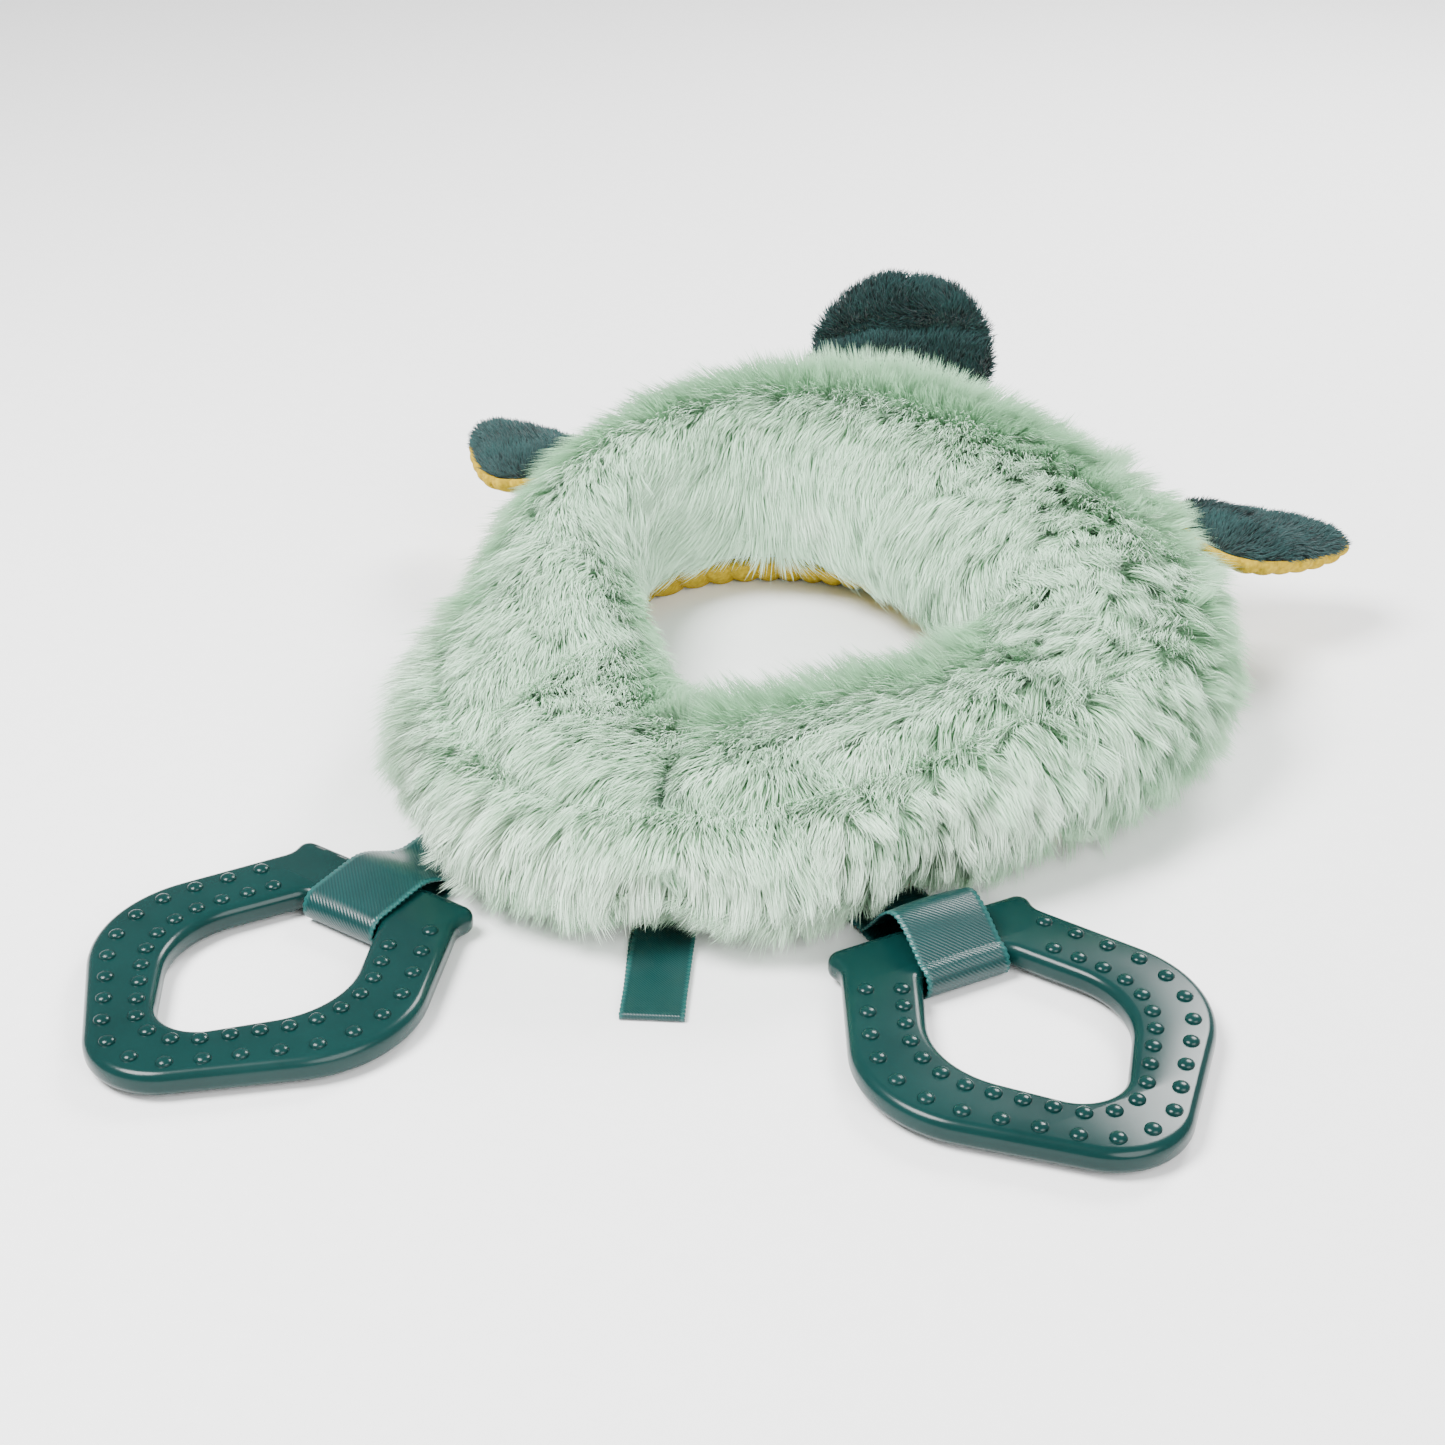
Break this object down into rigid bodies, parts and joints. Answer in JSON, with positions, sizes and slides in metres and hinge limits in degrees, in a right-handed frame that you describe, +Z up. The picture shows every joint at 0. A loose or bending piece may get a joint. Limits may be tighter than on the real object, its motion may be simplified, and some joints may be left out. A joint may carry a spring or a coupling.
{
  "type": "teething ring",
  "caption": "Stuffed plush ring with padded ears and crest, satin ribbon loops that carry hard textured teether rings, and a flat ribbon tag.",
  "frame": {"origin": "middle of the base of the whole object's bounding box, where the ring lies on its corduroy face", "axes": "+Z up out of the fur back, +Y from the ring's middle towards the padded crest, +X towards the right ear"},
  "size_m": [0.1836, 0.2386, 0.0535],
  "materials": {
    "mint_fur": "long combed pile",
    "mustard_corduroy": "matt, wide wales",
    "teal_plush": "short dense pile",
    "teal_satin": "satin weave",
    "teal_plastic": "glossy",
    "fibre": "matt",
    "thread": "matt",
    "pale_thread": "matt"
  },
  "bodies": {
    "ring": {"front_cover": "mustard_corduroy", "outer_band": "mint_fur", "back_cover": "mint_fur", "fibre_filling": "fibre", "band_seam_thread": "pale_thread", "outer_seam_thread": "pale_thread", "inner_seam_thread": "pale_thread"},
    "left_ear": {"left_ear_back": "teal_plush", "left_ear_front": "mustard_corduroy", "left_ear_filling": "fibre"},
    "left_ribbon": {"left_ribbon_loop": "teal_satin", "left_loop_stitch": "thread"},
    "left_teether": {"left_teether": "teal_plastic"},
    "right_ear": {"right_ear_back": "teal_plush", "right_ear_front": "mustard_corduroy", "right_ear_filling": "fibre"},
    "right_ribbon": {"right_ribbon_loop": "teal_satin", "right_loop_stitch": "thread"},
    "right_teether": {"right_teether": "teal_plastic"},
    "crest": {"crest_back": "teal_plush", "crest_front": "teal_plush", "crest_filling": "fibre"},
    "tag": {"ribbon_tag": "teal_satin"}
  },
  "joints": [
    {"name": "left_ribbon_swing", "type": "hinge", "parent": "ring", "child": "left_ribbon", "pos_m": [-0.04621, -0.0405, 0.0006], "axis": [-0.9521, 0.3057, 0], "range_deg": [-60, 20], "deforming": ["left_ribbon_loop", "left_loop_stitch"]},
    {"name": "left_teether_pivot", "type": "hinge", "parent": "left_ribbon", "child": "left_teether", "pos_m": [-0.0537, -0.06383, 0.003], "axis": [-0.9521, 0.3057, 0], "range_deg": [-90, 90]},
    {"name": "right_ribbon_swing", "type": "hinge", "parent": "ring", "child": "right_ribbon", "pos_m": [0.02614, -0.03592, 0.0006], "axis": [-0.7133, -0.7009, 0], "range_deg": [-60, 20], "deforming": ["right_ribbon_loop", "right_loop_stitch"]},
    {"name": "right_teether_pivot", "type": "hinge", "parent": "right_ribbon", "child": "right_teether", "pos_m": [0.0403, -0.05033, 0.003], "axis": [-0.7133, -0.7009, 0], "range_deg": [-90, 90]},
    {"name": "tag_flap", "type": "hinge", "parent": "ring", "child": "tag", "pos_m": [-0.0055, -0.05273, 0.0006], "axis": [-0.9744, -0.225, 0], "range_deg": [-60, 20], "deforming": ["ribbon_tag"]},
    {"name": "left_ear_fold", "type": "hinge", "parent": "ring", "child": "left_ear", "pos_m": [-0.06455, 0.05939, 0.02443], "axis": [0.6683, 0.7436, 0.0174], "range_deg": [-10, 25], "stiffness_Nm_per_rad": 0.01},
    {"name": "right_ear_fold", "type": "hinge", "parent": "ring", "child": "right_ear", "pos_m": [0.05983, 0.06788, 0.02603], "axis": [0.5121, -0.8588, -0.0171], "range_deg": [-10, 25], "stiffness_Nm_per_rad": 0.01},
    {"name": "crest_fold", "type": "hinge", "parent": "ring", "child": "crest", "pos_m": [-0.00557, 0.10404, 0.02741], "axis": [0.9986, 0.0523, 0], "range_deg": [-40, 12], "stiffness_Nm_per_rad": 0.02}
  ]
}
